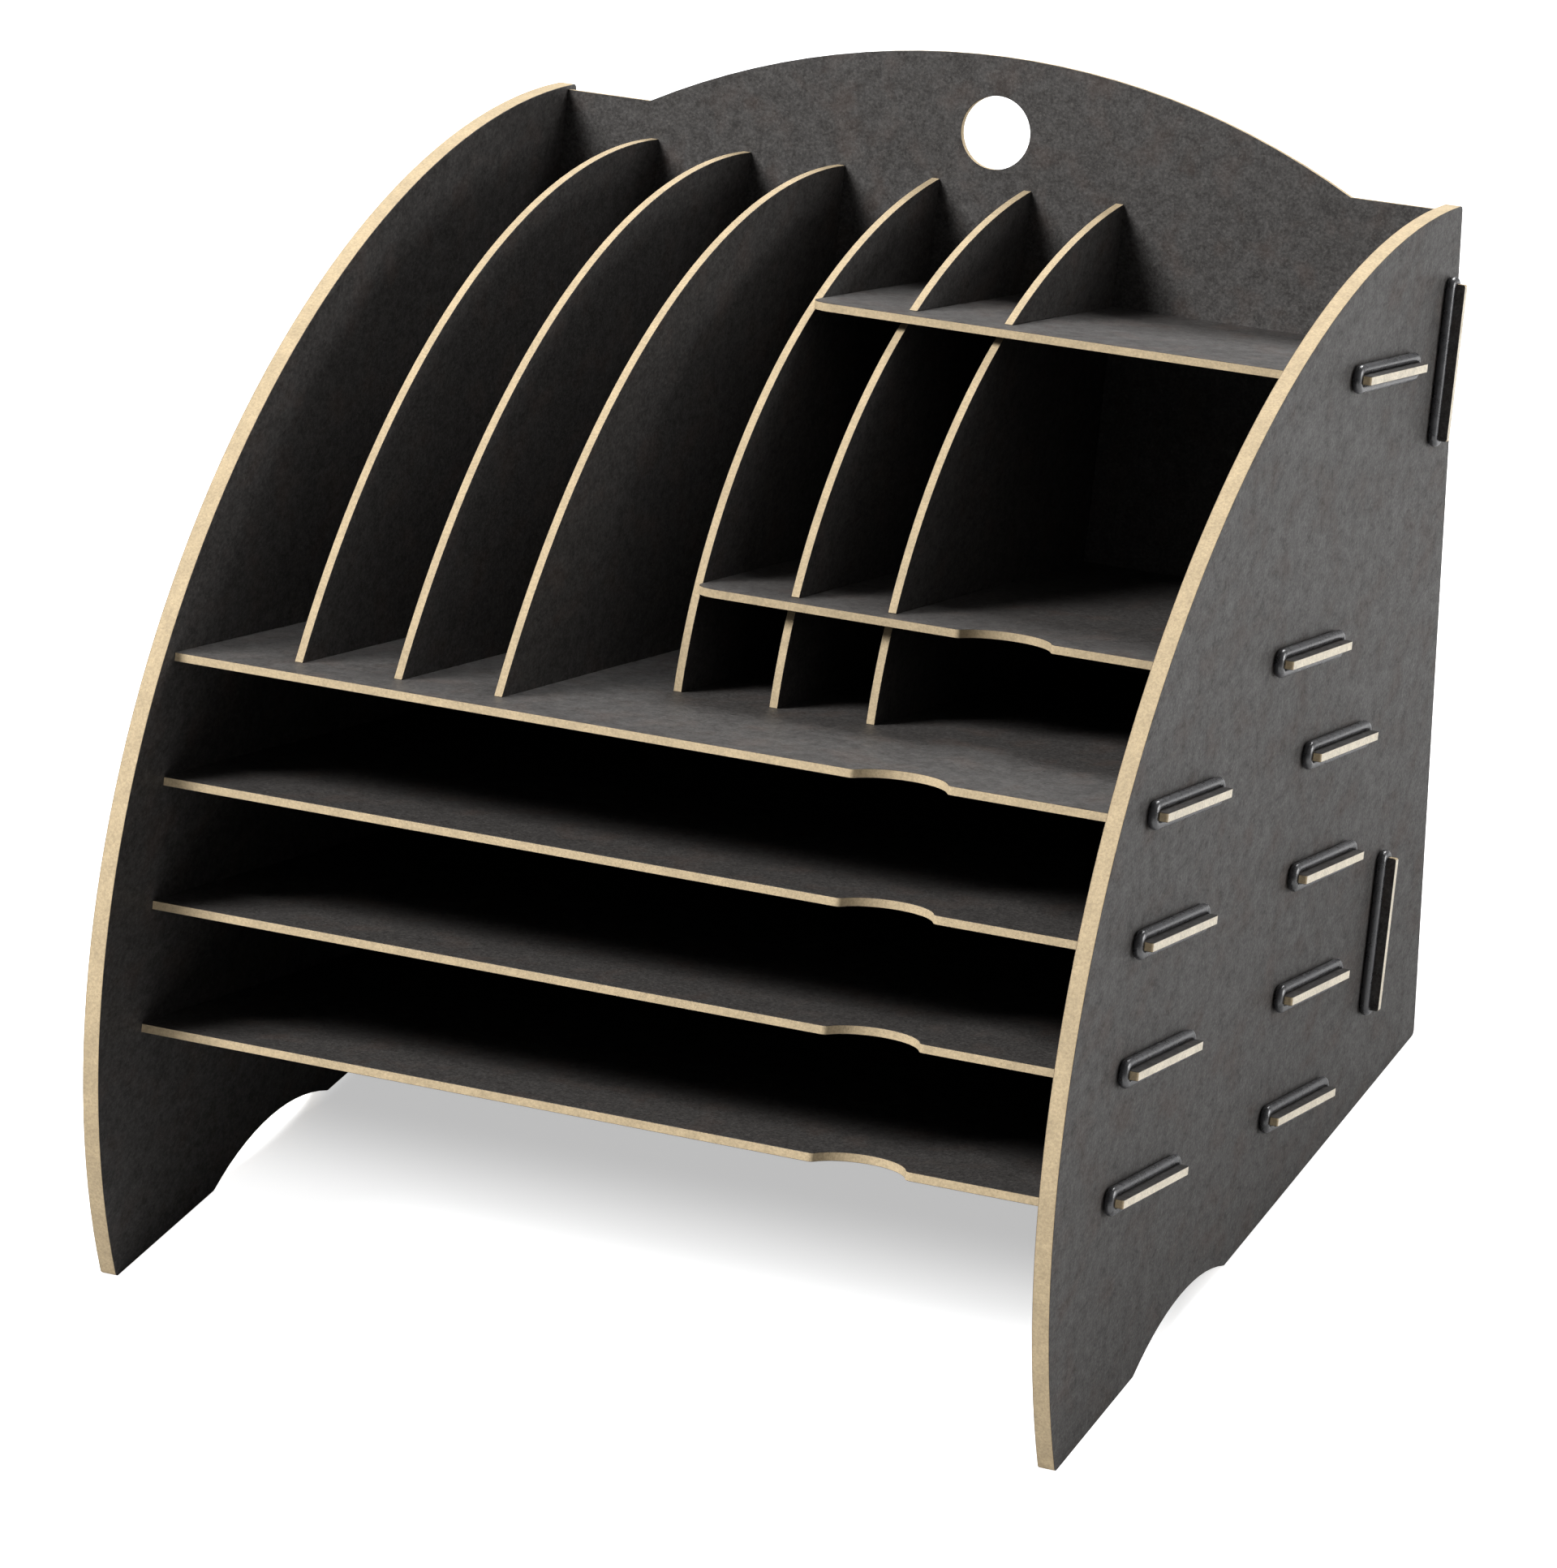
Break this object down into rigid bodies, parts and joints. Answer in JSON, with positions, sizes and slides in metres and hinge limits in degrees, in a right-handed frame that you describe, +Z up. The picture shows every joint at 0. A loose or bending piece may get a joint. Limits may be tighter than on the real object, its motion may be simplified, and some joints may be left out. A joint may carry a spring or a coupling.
{
  "type": "desk organiser",
  "caption": "Slot-together desk organiser: flat sloping trays under upright letter dividers and small shelves, between two curved side panels, its tabs held by rubber rings.",
  "frame": {"origin": "on the desk, under the middle of the organiser's bounding box", "axes": "+X to the user's right, +Y to the back, +Z up; the open front faces -Y"},
  "size_m": [0.332, 0.3598, 0.3199],
  "materials": {
    "board": "charcoal laminated fibreboard with bare tan cut edges",
    "ring": "satin black rubber"
  },
  "bodies": {
    "root": {"side_panel_left": "board", "side_panel_right": "board", "tray_lower": "board", "tray_middle": "board", "tray_upper": "board", "deck": "board", "middle_shelf": "board", "top_shelf": "board", "back_panel": "board", "divider_1": "board", "divider_2": "board", "divider_3": "board", "divider_4": "board", "divider_5": "board", "divider_6": "board", "rings_tray_lower": "ring", "rings_tray_middle": "ring", "rings_tray_upper": "ring", "rings_deck": "ring", "ring_middle_shelf": "ring", "ring_top_shelf": "ring", "rings_back_panel": "ring", "rings_dividers": "ring"}
  },
  "joints": []
}
